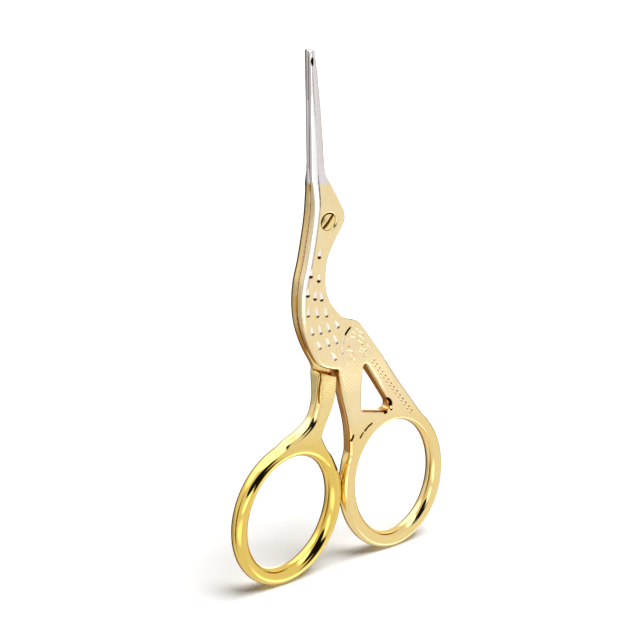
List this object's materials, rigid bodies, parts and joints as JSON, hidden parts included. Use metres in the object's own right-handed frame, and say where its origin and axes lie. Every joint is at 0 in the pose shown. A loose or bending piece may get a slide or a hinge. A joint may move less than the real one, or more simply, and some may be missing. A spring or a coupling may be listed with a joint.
{
  "type": "embroidery scissors",
  "caption": "Embroidery scissors shaped like a standing stork: lapped gold-plated halves with oval finger bows turn on a slotted screw at the eye, and bare steel blades form the beak.",
  "frame": {"origin": "middle of the width and thickness, at the level where the closed scissors stand on both bows", "axes": "+Z from the bows up to the blade tip, +X across the bows to the front half's bow, -Y out of the front face with the screw slot"},
  "size_m": [0.0449, 0.0038, 0.094],
  "materials": {
    "gold_plated_steel": "polished gold plate on forged steel, blades left as bare ground steel",
    "screw_gold_plate": "polished gold plate on a turned steel screw"
  },
  "bodies": {
    "rear": {"rear_half": "gold_plated_steel", "pivot_screw": "screw_gold_plate"},
    "front": {"front_half": "gold_plated_steel"}
  },
  "joints": [
    {"name": "blade_pivot", "type": "hinge", "parent": "rear", "child": "front", "pos_m": [-0.00375, 0, 0.06485], "axis": [0, -1, 0], "range_deg": [0, 80]}
  ]
}
